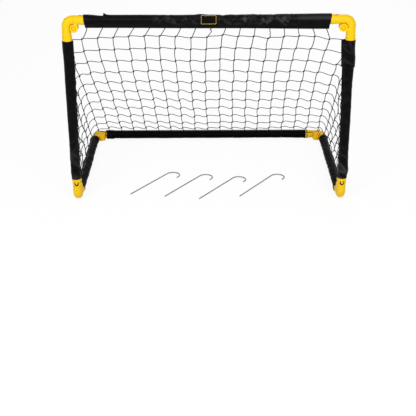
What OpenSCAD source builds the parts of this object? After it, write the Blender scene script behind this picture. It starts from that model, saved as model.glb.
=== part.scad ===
// Folding mini goal: six tubes joined in a loop by six two-part folding
// elbows, fabric sleeves over the tubes, a knotted net and four ground pegs.
// Frame: +X to the right, +Y from the mouth to the back, +Z up.
// Origin: middle of the footprint, on the ground. Units: millimetres.

/* [Goal] */
// Overall width, over the side cuffs
goal_w = 900; // [700:10:1200]
// Overall height, over the crossbar cuffs
goal_h = 620; // [500:10:800]
// Overall depth, from the mouth to the rear bar
goal_d = 600; // [480:10:800]

/* [Tubes] */
// Outside diameter of every tube
tube_d = 24; // [20:0.5:28]
// Wall of every tube
tube_wall = 1.2; // [0.8:0.1:2]

/* [Elbows] */
// Wall of the elbow round the tube
elbow_wall = 2.15; // [1.8:0.05:3]
// Radial play of a tube in its socket
socket_fit = 0.1; // [0.05:0.05:0.3]
// How far the mouth collar stands out
collar_lift = 1.25; // [0.8:0.05:2]
// Width of the mouth collar
collar_w = 8; // [5:0.5:10]
// Depth of the waist behind the collar
waist_cut = 0.35; // [0.1:0.05:0.6]
// Centreline radius of the bend
bend_r = 20; // [18:0.5:23]
// Distance of the pivot from the inner face of the legs
pivot_drop = 9.5; // [9:0.5:12]
// From the pivot to the mouth of a socket
leg_l = 40; // [38:1:60]
// From the pivot to the stop that a tube butts on
stop_l = 12; // [10:1:16]
// Gap between the seam faces of the two halves
seam_gap = 0.3; // [0.2:0.1:1]
// Diameter of the hollow in a seam face
seam_hollow_d = 18; // [10:1:20]
// Depth of the hollow in a seam face
seam_hollow_h = 5; // [2:0.5:6]
// Height of the moulding ridge on the bend
ridge_h = 2; // [1:0.5:3]
// Length of the moulding ridge along the pivot
ridge_l = 9; // [4:1:14]

/* [Knuckles] */
// Diameter of the two ears of the fork
ear_d = 25.5; // [22:0.5:26]
// Thickness of one ear
ear_t = 6; // [5:0.5:7]
// Thickness of the tongue between the ears
tongue_t = 12; // [10:0.5:14]
// Diameter of the tongue's barrel
tongue_d = 24.8; // [20:0.2:25]
// Play between tongue and ears, and round the tongue
knuckle_gap = 0.3; // [0.2:0.1:0.6]
// Width of the round groove that clears the ears
ear_groove = 2.25; // [1:0.25:3]

/* [Pivot pins] */
// Diameter of a pivot pin
pin_d = 6; // [4:0.5:8]
// Radial play of a pin in the tongue
pin_play = 0.08; // [0.04:0.01:0.1]
// Radial play of a pin in the ears
pin_seat = 0.02; // [0.01:0.01:0.04]
// Diameter of a pin head
pin_head_d = 10.8; // [9:0.2:12]
// Height of a pin head
pin_head_h = 1.9; // [1:0.1:2.4]
// Diameter of the well round a pin head
well_d = 14.8; // [13:0.2:18]
// Depth of the well round a pin head
well_h = 2; // [1:0.1:2.5]

/* [Snap tongues] */
// From the pivot to the closed end of the U slot
snap_start = 17; // [15:0.5:20]
// Length of the U slot
snap_l = 14; // [12:0.5:15]
// Width over the two arms of the U slot
snap_w = 14; // [11:0.5:15]
// Width of one arm of the U slot
snap_arm = 3.5; // [1.5:0.1:3.5]
// Gap between the tongue's tip and the closed end
snap_tip = 5.8; // [3:0.1:6]
// Width of the raised rim round the U slot
snap_rim = 3.25; // [2:0.25:4]
// Height of the raised rim
snap_rim_h = 0.7; // [0.3:0.1:1]
// Diameter of the pip on the tongue
pip_d = 6; // [4:0.5:7]

/* [Sleeves] */
// Thickness of the sleeve fabric with its lining
sleeve_t = 0.8; // [0.6:0.1:1]
// Play of the fabric over the parts under it
sleeve_gap = 0.2; // [0.2:0.1:0.5]
// Radius of the crossbar sleeve round its tube
bar_sleeve_r = 14.8; // [14.2:0.1:16]
// From the crossbar's axis to the tip of its seam
bar_seam = 27; // [20:0.5:35]
// Radius of the post sleeves
post_sleeve_r = 15; // [14.2:0.1:16]
// From the left post's axis to the tip of its seam
left_seam = 18; // [17:0.5:30]
// From the right post's axis to the tip of its seam
right_seam = 20; // [17:0.5:30]
// Radius of the wide cuff on top of the right post
wide_sleeve_r = 16; // [14.2:0.1:18]
// Length of the wide cuff on top of the right post
wide_cuff_l = 85; // [40:5:150]
// From the right post's axis to the tip of the wide cuff's seam
wide_seam = 27; // [22:0.5:34]
// Radius of the side and rear sleeves
ground_sleeve_r = 15; // [14.2:0.1:16]
// From a ground bar's axis to the tip of its seam
ground_seam = 17; // [16.5:0.5:20]
// Half thickness of a sewn seam
seam_half = 1.2; // [0.8:0.1:2]
// How far the flanks of a drop-shaped sleeve start inside its round part
flank_tuck = 0.1; // [0.05:0.05:0.5]
// Length of a cuff drawn over a collar
cuff_l = 10; // [3:1:18]
// Length of the crossbar's cuff on the right
right_cuff_l = 3; // [3:1:18]
// Length of the shoulder between a cuff and its sleeve
shoulder_l = 6; // [2:1:12]
// Length of the rear bar's cuff on the left
rear_cuff_l = 22; // [3:1:23]

/* [Label] */
// Width of the blank woven label
label_w = 50; // [20:1:80]
// Angle that the label covers round the sleeve
label_wrap = 84; // [40:2:90]
// Thickness of the label
label_t = 0.6; // [0.3:0.1:1]
// Play of the label over the sleeve
label_gap = 0.1; // [0.1:0.1:0.5]
// From the middle of the crossbar to the middle of the label
label_x = 0; // [-100:5:100]

/* [Net] */
// Diameter of the net's cord
cord_d = 2; // [1.2:0.1:3]
// Meshes across the back panel
net_cols = 18; // [10:1:18]
// Meshes from the crossbar to the rear bar
net_rows = 12; // [6:1:12]
// Sag of the back panel at its middle
net_sag = 15; // [0:5:90]
// Share of the first mesh that is taken up in the crossbar's seam, at the middle
take_middle = 0.55; // [0:0.05:0.8]
// Share of the first mesh that is taken up in the seam, at the ends
take_ends = 0.25; // [0:0.05:0.8]
// Where the last row before the rear bar lies, as a share of the panel
low_share = 0.99; // [0.9:0.01:1]
// How far the net has slipped to the left along the crossbar
net_slip = 8; // [0:1:20]
// How far the middle of the net's top row is pushed back to the right
net_drift = 16; // [0:1:30]
// How far the panel's edges lie inside the posts' axes
edge_inset = 8.5; // [4:0.5:20]
// Rows that are tied straight to the posts
post_rows = 2; // [1:1:3]
// Turn of these ties round the posts, from the seam to the rear
tie_turn = 60; // [60:5:90]
// How far these ties lie above the rows that they hold
tie_lift = 13; // [0:1:20]
// How far the row below the ties is drawn towards the posts
edge_pull = 70; // [0:5:100]
// Share of this pull that passes on to the next row below
pull_share = 0.75; // [0.3:0.05:0.8]
// Turn of the rear bar's seam, from upright to the rear
rear_turn = 40; // [0:5:60]
// Mesh length along the rows of a side panel
side_mesh = 100; // [70:5:140]
// Distance that the net keeps from what it is tied to
net_gap = 0.3; // [0.2:0.1:0.8]

/* [Pegs] */
// Diameter of the peg wire
peg_d = 4; // [3:0.1:6]
// Straight length of a peg
peg_shank = 210; // [120:5:260]
// Centreline radius of the hook
peg_hook_r = 24; // [18:0.5:30]
// Straight tail at the end of the hook
peg_tail = 8; // [2:1:20]
// Length of the ground point
peg_point = 6; // [3:1:12]
// Angle of the pegs on the ground, from the rear bar
peg_turn = 56; // [30:1:80]
// Sideways place of the first peg's point, from the middle of the goal
peg_x = -265; // [-350:5:-100]
// Depthwise place of the first peg's point, from the middle of the goal
peg_y = -240; // [-250:5:0]
// How much nearer to the mouth the third peg lies
peg_stagger = 40; // [0:5:50]
// Distance between neighbouring pegs
peg_pitch = 115; // [100:5:200]
// How much further the last peg lies
peg_last = 20; // [0:5:60]

/* [Hidden] */
$fn = 64;

YELLOW = "gold";
BLACK = [0.12, 0.12, 0.13];
CORD = [0.2, 0.2, 0.2];
STEEL = [0.6, 0.63, 0.68];

// Radii that follow from the tube
bore_r = tube_d / 2 + socket_fit;
elbow_r = bore_r + elbow_wall;
collar_r = elbow_r + collar_lift;
cuff_bore = collar_r + sleeve_gap;
cuff_r = cuff_bore + sleeve_t;
cuff_tip = cuff_r + 1;
// From a pivot to the place where the sleeve's own radius starts
sleeve_mouth = leg_l + net_gap;
// Distance between a leg's axis and the pivot
arm = elbow_r + pivot_drop;

// Planes of the tube axes and of the pivots
axis_x = goal_w / 2 - cuff_r;
axis_top = goal_h - cuff_r;
axis_low = cuff_r;
axis_front = cuff_r - goal_d / 2;
axis_rear = goal_d / 2 - cuff_r;
pivot_x = axis_x - arm;
pivot_top = axis_top - arm;
pivot_low = axis_low + arm;
pivot_front = axis_front + arm;
pivot_rear = axis_rear - arm;

// Place and turn of each elbow. In its own frame the pivot is the origin,
// the fork's leg runs along +X, the bend's leg along -Y, the pin along Z.
TOP_LEFT = [[-pivot_x, axis_front, pivot_top], [90, 0, 0]];
TOP_RIGHT = [[pivot_x, axis_front, pivot_top], [90, 90, 0]];
FRONT_RIGHT = [[axis_x, pivot_front, pivot_low], [-90, 0, 90]];
REAR_RIGHT = [[pivot_x, pivot_rear, axis_low], [0, 180, 0]];
REAR_LEFT = [[-pivot_x, pivot_rear, axis_low], [0, 180, 90]];
FRONT_LEFT = [[-axis_x, pivot_front, pivot_low], [180, -90, 0]];

module placed(elbow) {
    translate(elbow[0]) rotate(elbow[1]) children();
}

// ---- Elbows ---------------------------------------------------------------

// One socket leg along +Z, its outer face towards +X
module leg_body() {
    waist = elbow_r - waist_cut;
    flare = elbow_r + collar_lift / 2;
    collar_z = leg_l - collar_w;
    lip = collar_lift / 2;
    rotate_extrude()
        polygon([
            [0, 0], [elbow_r, 0], [waist, stop_l], [flare, collar_z - 1],
            [collar_r, collar_z], [collar_r, leg_l - lip],
            [collar_r - lip, leg_l], [0, leg_l]
        ]);
}

// Outline of a slot with one round end, along +X from its closed end
module slot_outline(start, length, width) {
    translate([start + width / 2, 0]) circle(d = width);
    translate([start + width / 2, -width / 2]) square([length - width / 2, width]);
}

// The U slot that frees the spring tongue
module snap_cut() {
    tongue_w = snap_w - 2 * snap_arm;
    rotate([90, 0, 90])
        linear_extrude(collar_r + 1)
            rotate(90)
                difference() {
                    slot_outline(snap_start, snap_l, snap_w);
                    slot_outline(snap_start + snap_tip, snap_l, tongue_w);
                }
}

// The raised rim round the U slot
module snap_rim() {
    intersection() {
        cylinder(r = elbow_r + snap_rim_h, h = leg_l - collar_w);
        rotate([90, 0, 90])
            linear_extrude(collar_r + 1)
                rotate(90)
                    slot_outline(snap_start - snap_rim, snap_l + snap_rim, snap_w + 2 * snap_rim);
    }
}

// The pip that stands on the spring tongue
module snap_pip() {
    translate([collar_r - pip_d / 2, 0, snap_start + snap_tip + snap_w / 2 - snap_arm + 1])
        sphere(d = pip_d);
}

module leg() {
    difference() {
        union() {
            leg_body();
            snap_rim();
            snap_pip();
        }
        translate([0, 0, stop_l]) cylinder(r = bore_r, h = leg_l);
        snap_cut();
    }
}

module knuckle_bore(play) {
    cylinder(r = pin_d / 2 + play, h = 4 * elbow_r, center = true);
}

// Bend half: socket, quarter bend and the tongue of the knuckle
module bend_half() {
    centre = bend_r - arm;
    straight = arm - bend_r;
    ridge = elbow_r / 2;
    difference() {
        union() {
            translate([-arm, 0, 0]) rotate([90, 180, 0]) leg();
            translate([-arm, 0, 0]) rotate([-90, 0, 0]) cylinder(r = elbow_r, h = straight);
            translate([centre, -centre, 0])
                rotate([0, 0, 90])
                    rotate_extrude(angle = 90) translate([bend_r, 0]) circle(r = elbow_r);
            translate([centre, arm, 0]) rotate([0, 90, 0])
                cylinder(r = elbow_r, h = straight - seam_gap / 2);
            translate([centre, -centre, 0]) rotate([0, 0, 135])
                translate([bend_r + elbow_r + ridge_h, 0, -ridge_l / 2]) rotate([0, 0, 135])
                    cube([ridge, ridge, ridge_l]);
            cylinder(d = tongue_d, h = tongue_t, center = true);
        }
        for (side = [0, 1]) mirror([0, 0, side])
            translate([0, 0, tongue_t / 2])
                cylinder(r = ear_d / 2 + ear_groove, h = elbow_r + 1);
        translate([-seam_gap / 2 - seam_hollow_h, arm, 0]) rotate([0, 90, 0])
            cylinder(d = seam_hollow_d, h = seam_hollow_h + 1);
        knuckle_bore(pin_play);
    }
}

// Fork half: socket and the two ears that take the tongue between them
module fork_half() {
    inner = tongue_t / 2 + knuckle_gap;
    face = seam_gap / 2;
    strap = min(ear_d / 2, stop_l) - knuckle_gap;
    difference() {
        union() {
            intersection() {
                translate([0, arm, 0]) rotate([90, 0, 90]) leg();
                translate([face, arm - 2 * elbow_r, -2 * elbow_r])
                    cube([leg_l, 4 * elbow_r, 4 * elbow_r]);
            }
            for (side = [0, 1]) mirror([0, 0, side])
                translate([0, 0, inner])
                    linear_extrude(ear_t) {
                        circle(d = ear_d);
                        translate([face, 0]) square([strap - face, arm]);
                    }
        }
        translate([0, 0, -inner]) cylinder(r = tongue_d / 2 + knuckle_gap, h = 2 * inner);
        for (side = [0, 1]) mirror([0, 0, side])
            translate([0, 0, inner + ear_t - well_h]) cylinder(d = well_d, h = well_h + 1);
        translate([face - 1, arm, 0]) rotate([0, 90, 0])
            cylinder(d = seam_hollow_d, h = seam_hollow_h + 1);
        knuckle_bore(pin_seat);
    }
}

// Pivot pin with a head in the well of each ear
module pivot_pin() {
    floor_z = tongue_t / 2 + knuckle_gap + ear_t - well_h;
    cylinder(d = pin_d, h = 2 * floor_z, center = true);
    for (side = [0, 1]) mirror([0, 0, side]) translate([0, 0, floor_z]) {
        cylinder(d = pin_head_d, h = pin_head_h / 2);
        translate([0, 0, pin_head_h / 2])
            cylinder(d1 = pin_head_d, d2 = pin_head_d - pin_head_h, h = pin_head_h / 2);
    }
}

module yellow_bend(elbow) { color(YELLOW) placed(elbow) bend_half(); }
module yellow_fork(elbow) { color(YELLOW) placed(elbow) fork_half(); }
module yellow_pin(elbow) { color(YELLOW) placed(elbow) pivot_pin(); }

// ---- Tubes ----------------------------------------------------------------

// A tube along +Z that butts on the stops of two sockets
module tube(span) {
    length = span - 2 * stop_l;
    color(BLACK) translate([0, 0, stop_l])
        difference() {
            cylinder(d = tube_d, h = length);
            translate([0, 0, -1]) cylinder(d = tube_d - 2 * tube_wall, h = length + 2);
        }
}

// Distance between the pivots at the two ends of a bar
span_x = 2 * pivot_x;
span_z = pivot_top - pivot_low;
span_y = pivot_rear - pivot_front;

// A bar's own frame: its first pivot plane at the origin, the bar along +Z,
// and +X towards the seam of its sleeve
module along_crossbar() {
    translate([-pivot_x, axis_front, axis_top]) rotate([0, 90, 0]) children();
}
module along_post(side) {
    translate([side * axis_x, axis_front, pivot_low])
        rotate([0, 0, side < 0 ? 0 : 180]) children();
}
module along_side(side) {
    translate([side * axis_x, pivot_front, axis_low]) rotate([-90, -90, 0]) children();
}
module along_rear() {
    translate([-pivot_x, axis_rear, axis_low]) rotate([0, 90, 0]) rotate(180) children();
}

// ---- Sleeves --------------------------------------------------------------

// Prism of drop-shaped section: a cylinder of radius r that tapers to a flat
// seam. The flanks start a little inside the cylinder, so they cut it cleanly.
module drop_prism(r, seam, height) {
    lean = asin((r - seam_half) / seam);
    root = r - flank_tuck;
    cylinder(r = r, h = height);
    linear_extrude(height)
        polygon([
            [0, -r / 2],
            [0, r / 2],
            [root * sin(lean), root * cos(lean)],
            [seam, seam_half],
            [seam, -seam_half],
            [root * sin(lean), -root * cos(lean)]
        ]);
}

module sleeve_part(from, to, r, seam, bore) {
    translate([0, 0, from])
        difference() {
            drop_prism(r, seam, to - from);
            translate([0, 0, -1]) cylinder(r = bore, h = to - from + 2);
        }
}

// Cuff over the collar of the leg at the origin, with the shoulder by which
// the fabric narrows to the sleeve's own radius
module cuff(length, r, seam) {
    bore = tube_d / 2 + sleeve_gap;
    sleeve_part(leg_l - length, sleeve_mouth, cuff_r, max(seam, cuff_tip), cuff_bore);
    translate([0, 0, sleeve_mouth])
        difference() {
            cylinder(r1 = cuff_r, r2 = r, h = shoulder_l);
            translate([0, 0, -1]) cylinder(r = bore, h = shoulder_l + 2);
        }
}

// Sleeve from mouth to mouth, with cuffs drawn over the collars
module sleeve(span, r, seam, first_cuff, last_cuff) {
    bore = tube_d / 2 + sleeve_gap;
    color(BLACK) {
        sleeve_part(sleeve_mouth, span - sleeve_mouth, r, seam, bore);
        if (first_cuff > 0) cuff(first_cuff, r, seam);
        if (last_cuff > 0)
            translate([0, 0, span]) mirror([0, 0, 1]) cuff(last_cuff, r, seam);
    }
}

// Right post: narrow below, with a wide loose cuff on top
module wide_topped_sleeve(span) {
    bore = tube_d / 2 + sleeve_gap;
    step = span - sleeve_mouth - wide_cuff_l;
    color(BLACK) {
        sleeve_part(sleeve_mouth, step, post_sleeve_r, right_seam, bore);
        sleeve_part(step, span - sleeve_mouth, wide_sleeve_r, wide_seam, bore);
    }
}

// Blank label laid round the front of the crossbar's sleeve
module label_band() {
    lean = asin((bar_sleeve_r - seam_half) / bar_seam);
    color(BLACK) translate([0, 0, pivot_x + label_x - label_w / 2])
        rotate(lean - 91 - label_wrap)
            rotate_extrude(angle = label_wrap)
                translate([bar_sleeve_r + label_gap, 0]) square([label_t, label_w]);
}

// ---- Net ------------------------------------------------------------------

// A tied cord of square section stands on an edge
tie_gap = net_gap + cord_d * 0.75;
// Heights at which the panels' cords pass the crossbar's and the ground bars' seams
tie_top = axis_top - bar_seam - tie_gap;
tie_low = axis_low + max(ground_seam, cuff_tip) + tie_gap;
// Sideways place of the back panel's edges and of the side panels next to them
edge_x = axis_x - edge_inset;
seam_x = edge_x + cord_d + net_gap;
// Where the side panels end behind the posts
stop_post = axis_front + collar_r + net_gap + cord_d / 2;
// Where the side panels' lowest cord ends on the ground bars
stop_low = pivot_front + leg_l;
// Share of the top row's drift that is left just below it
drift_share = 0.3;
// The side panels' lowest row; the back panel has one more, behind the rear bar
last_side_row = net_rows - 1;

// Sideways place of a column, from -1 on the left to 1 on the right
function across(i) = 2 * i / net_cols - 1;

// How far down the panel a knot lies, from 0 to 1
function taken(i) = take_middle - (take_middle - take_ends) * pow(across(i), 2);
function share(i, j) =
    j == 0 ? 0 : low_share * (j - taken(i)) / (last_side_row - taken(i));
function panel_y(t) = axis_front + t * (axis_rear - axis_front);
function panel_z(t) = tie_top + t * (tie_low - tie_top) - 4 * net_sag * t * (1 - t);
function drift(i, j, t) =
    net_drift * (1 - pow(across(i), 2)) * (j == 0 ? 1 : drift_share * (1 - t));
function column_x(i, j, t) =
    across(i) * (j == 0 ? pivot_x : axis_x - edge_inset * t)
    - net_slip * (1 - t / 2)
    + drift(i, j, t);

// Edge of the back panel: below its ties to the post it is drawn to them
function pull(j) = edge_pull * pow(pull_share, j - post_rows - 1);
function edge_y(j) = panel_y(share(0, j)) - pull(j);
function edge_z(j) = panel_z(share(0, j)) + 0.1 * pull(j);

// Tie of a row to a post: behind the sleeve, turned from its seam to the rear
function tie_knot(side, j) =
    let (
        r = (side < 0 ? post_sleeve_r : wide_sleeve_r) + tie_gap,
        highest = pivot_top - sleeve_mouth - cord_d
    )
    [
        side * (axis_x - r * cos(tie_turn)),
        axis_front + r * sin(tie_turn),
        min(highest, panel_z(share(0, j)) + tie_lift)
    ];

// Tie of the last row to the rear bar's seam
function rear_knot(x) =
    let (r = max(ground_seam, cuff_tip) + tie_gap)
    [x, axis_rear + r * sin(rear_turn), axis_low + r * cos(rear_turn)];

function back_knot(i, j) =
    let (
        side = i == 0 ? -1 : 1,
        t = share(i, j),
        edge = i == 0 || i == net_cols,
        x = edge ? side * edge_x : column_x(i, j, t)
    )
    j == net_rows ? rear_knot(edge ? x : column_x(i, j, 1))
    : !edge ? [x, panel_y(t), panel_z(t)]
    : j <= post_rows ? tie_knot(side, j)
    : [x, edge_y(j), edge_z(j)];

// Last knot of a side panel's row; it is the one tied to the post
function stop_y(j) = j == last_side_row ? stop_low : stop_post;
function side_last(j) = max(1, round((edge_y(j) - stop_y(j)) / side_mesh));
function side_knot(side, k, j) = [
    side * (seam_x + (axis_x - seam_x) * (j == last_side_row ? min(k, 1) : k / side_last(j))),
    k == side_last(j) ? stop_y(j) : edge_y(j) - k * side_mesh,
    j == last_side_row && k > 0 ? tie_low : edge_z(j)
];

// Both panels are lattices: rows j of knots i, joined by cords of square
// section along the rows and across them. The side is 0 for the back panel.
function first_row(side) = side == 0 ? 0 : post_rows + 1;
function last_row(side) = side == 0 ? net_rows : last_side_row;
function first_knot(side, j) = side == 0 && j == 0 ? 1 : 0;
function last_knot(side, j) =
    side != 0 ? side_last(j) : j == 0 ? net_cols - 1 : net_cols;
function has_knot(side, i, j) =
    j >= first_row(side) && j <= last_row(side)
    && i >= first_knot(side, j) && i <= last_knot(side, j);
function has_row_cord(side, i, j) = has_knot(side, i, j) && has_knot(side, i + 1, j);
function on_edge(side, i, j) =
    side == 0
        ? j < post_rows && (i == 0 || i == net_cols)
        : i == 0 || (i > 1 && i == side_last(j) && i == side_last(j + 1));
function has_column_cord(side, i, j) =
    has_knot(side, i, j) && has_knot(side, i, j + 1) && !on_edge(side, i, j);

function knots_above(side, j) =
    j <= first_row(side)
        ? 0
        : knots_above(side, j - 1) + last_knot(side, j - 1) - first_knot(side, j - 1) + 1;
function corner_of(side, i, j) = 8 * (knots_above(side, j) + i - first_knot(side, j));

// Eight corners of a knot in the lattice's axes u (row), v (column), n
function knot_corners(at, u, v, n) = [
    for (sn = [-1, 1]) for (sv = [-1, 1]) for (su = [-1, 1])
        at + cord_d / 2 * (su * u + sv * v + sn * n)
];

// Four long faces of a cord from the open wall p to the open wall q
function cord_faces(p, q) = [
    for (k = [0:3]) [p[k], p[(k + 1) % 4], q[(k + 1) % 4], q[k]]
];

function knot_faces(side, i, j) =
    let (
        a = corner_of(side, i, j),
        b = a + 8,
        c = corner_of(side, i, j + 1),
        row_wall = [a + 1, a + 5, a + 7, a + 3],
        column_wall = [a + 2, a + 3, a + 7, a + 6]
    )
    concat(
        [[a + 4, a + 6, a + 7, a + 5], [a, a + 1, a + 3, a + 2]],
        has_row_cord(side, i, j)
            ? cord_faces(row_wall, [b, b + 4, b + 6, b + 2])
            : [row_wall],
        has_row_cord(side, i - 1, j) ? [] : [[a, a + 2, a + 6, a + 4]],
        has_column_cord(side, i, j)
            ? cord_faces(column_wall, [c, c + 1, c + 5, c + 4])
            : [column_wall],
        has_column_cord(side, i, j - 1) ? [] : [[a, a + 4, a + 5, a + 1]]
    );

module net_panel(side) {
    slope = atan2(tie_top - tie_low, axis_rear - axis_front);
    u = side == 0 ? [1, 0, 0] : [0, -1, 0];
    v = side == 0 ? [0, cos(slope), -sin(slope)] : [0, 0, -1];
    n = side == 0 ? [0, sin(slope), cos(slope)] : [1, 0, 0];
    points = [
        for (j = [first_row(side):last_row(side)])
            for (i = [first_knot(side, j):last_knot(side, j)])
                let (at = side == 0 ? back_knot(i, j) : side_knot(side, i, j))
                    each knot_corners(at, u, v, n)
    ];
    faces = [
        for (j = [first_row(side):last_row(side)])
            for (i = [first_knot(side, j):last_knot(side, j)])
                for (f = knot_faces(side, i, j))
                    each [[f[0], f[1], f[2]], [f[0], f[2], f[3]]]
    ];
    color(CORD) polyhedron(points, faces);
}

// ---- Pegs -----------------------------------------------------------------

// Peg lying on the ground: point at the origin, shank along +X
module peg_body() {
    translate([0, 0, peg_d / 2]) {
        rotate([0, 90, 0]) cylinder(d1 = peg_d / 4, d2 = peg_d, h = peg_point);
        translate([peg_point, 0, 0]) rotate([0, 90, 0])
            cylinder(d = peg_d, h = peg_shank - peg_point);
        translate([peg_shank, -peg_hook_r, 0]) rotate(-90)
            rotate_extrude(angle = 180) translate([peg_hook_r, 0]) circle(d = peg_d);
        translate([peg_shank - peg_tail, -2 * peg_hook_r, 0]) rotate([0, 90, 0])
            cylinder(d = peg_d, h = peg_tail);
    }
}

module peg(k) {
    x = peg_x + (k - 1) * peg_pitch + (k == 4 ? peg_last : 0);
    y = peg_y - peg_stagger * min(k - 1, 5 - k) / 2;
    color(STEEL) translate([x, y, 0]) rotate(peg_turn) peg_body();
}

// ---- Nodes ----------------------------------------------------------------

along_crossbar() tube(span_x);  // crossbar_tube
along_post(-1) tube(span_z);  // left_post_tube
along_post(1) tube(span_z);  // right_post_tube
along_side(-1) tube(span_y);  // left_side_tube
along_side(1) tube(span_y);  // right_side_tube
along_rear() tube(span_x);  // rear_tube
yellow_bend(TOP_LEFT);  // top_left_bend
yellow_fork(TOP_LEFT);  // top_left_fork
yellow_pin(TOP_LEFT);  // top_left_pin
yellow_bend(TOP_RIGHT);  // top_right_bend
yellow_fork(TOP_RIGHT);  // top_right_fork
yellow_pin(TOP_RIGHT);  // top_right_pin
yellow_bend(FRONT_LEFT);  // front_left_bend
yellow_fork(FRONT_LEFT);  // front_left_fork
yellow_pin(FRONT_LEFT);  // front_left_pin
yellow_bend(FRONT_RIGHT);  // front_right_bend
yellow_fork(FRONT_RIGHT);  // front_right_fork
yellow_pin(FRONT_RIGHT);  // front_right_pin
yellow_bend(REAR_LEFT);  // rear_left_bend
yellow_fork(REAR_LEFT);  // rear_left_fork
yellow_pin(REAR_LEFT);  // rear_left_pin
yellow_bend(REAR_RIGHT);  // rear_right_bend
yellow_fork(REAR_RIGHT);  // rear_right_fork
yellow_pin(REAR_RIGHT);  // rear_right_pin
along_crossbar() sleeve(span_x, bar_sleeve_r, bar_seam, cuff_l, right_cuff_l);  // crossbar_sleeve
along_post(-1) sleeve(span_z, post_sleeve_r, left_seam, 0, 0);  // left_post_sleeve
along_post(1) wide_topped_sleeve(span_z);  // right_post_sleeve
along_side(-1) sleeve(span_y, ground_sleeve_r, ground_seam, cuff_l, cuff_l);  // left_side_sleeve
along_side(1) sleeve(span_y, ground_sleeve_r, ground_seam, cuff_l, cuff_l);  // right_side_sleeve
along_rear() rotate(-rear_turn)  // rear_sleeve
        sleeve(span_x, ground_sleeve_r, ground_seam, rear_cuff_l, 0);
along_crossbar() label_band();  // blank_label
net_panel(0);  // net_back
net_panel(-1);  // net_left
net_panel(1);  // net_right
peg(1);  // peg_1
peg(2);  // peg_2
peg(3);  // peg_3
peg(4);  // peg_4
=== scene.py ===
# %% [markdown]
# A folding mini goal stands on a pale floor: six tubes in fabric sleeves,
# joined by yellow folding elbows, with a knotted net and four steel pegs. The
# rigid parts come from the packed model, which Blender loads as a fixed frame.
# Everything soft is made here, round the solids that stand for it.

import random
from math import cos, degrees, exp, pi, radians, sin, sqrt

import bmesh
import bpy
import numpy as np
from mathutils import Matrix, Vector, noise


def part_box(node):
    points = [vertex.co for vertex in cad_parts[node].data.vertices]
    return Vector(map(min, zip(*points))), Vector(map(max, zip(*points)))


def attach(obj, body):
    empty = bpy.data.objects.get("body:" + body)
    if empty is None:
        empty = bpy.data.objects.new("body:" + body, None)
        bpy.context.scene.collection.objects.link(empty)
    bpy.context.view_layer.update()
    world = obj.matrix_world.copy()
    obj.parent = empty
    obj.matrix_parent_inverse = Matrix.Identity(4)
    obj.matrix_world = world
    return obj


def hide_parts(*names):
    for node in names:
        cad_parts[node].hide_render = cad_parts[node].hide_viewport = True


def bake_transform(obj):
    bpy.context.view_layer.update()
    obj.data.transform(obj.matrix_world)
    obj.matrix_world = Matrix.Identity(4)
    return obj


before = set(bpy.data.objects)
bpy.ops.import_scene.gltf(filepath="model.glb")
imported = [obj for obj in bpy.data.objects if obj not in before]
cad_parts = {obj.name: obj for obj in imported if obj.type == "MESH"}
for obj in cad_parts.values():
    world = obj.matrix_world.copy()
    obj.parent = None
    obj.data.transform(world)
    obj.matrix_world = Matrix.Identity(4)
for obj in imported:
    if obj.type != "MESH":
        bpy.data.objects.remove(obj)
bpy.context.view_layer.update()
MM = 0.001
SEED = 7


# %% [markdown]
# The camera stands three metres in front of the mouth and looks down at it by
# 25 degrees with a long lens, so the posts stay nearly upright. A matrix built
# from its three axes places it more exactly than turning it by hand.

# %% Camera
CAMERA_AT = Vector((-0.00053, -3.10205, 1.30613))
YAW, PITCH, ROLL = -0.00136, 0.44251, -0.00427

ahead = Vector((sin(YAW) * cos(PITCH), cos(YAW) * cos(PITCH), -sin(PITCH)))
level = Vector((cos(YAW), -sin(YAW), 0))
upward = level.cross(ahead)
right = level * cos(ROLL) + upward * sin(ROLL)
top = upward * cos(ROLL) - level * sin(ROLL)

FOCAL_LENGTH, SENSOR_WIDTH = 81.205, 36

lens = bpy.data.cameras.new("camera")
lens.lens = FOCAL_LENGTH
lens.sensor_width = SENSOR_WIDTH
camera = bpy.data.objects.new("camera", lens)
camera.matrix_world = Matrix((right, top, -ahead)).transposed().to_4x4()
camera.location = CAMERA_AT
bpy.context.collection.objects.link(camera)
bpy.context.scene.camera = camera
bpy.context.scene.view_settings.view_transform = "Standard"
print("camera looks down by", round(degrees(PITCH), 1), "degrees")


# %% [markdown]
# A material is a small network of nodes. Drawn by hand it soon becomes hard to
# read, so this class lets the sums be written as ordinary Python: each
# operator adds one Math node. Every other node comes from one method.

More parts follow.
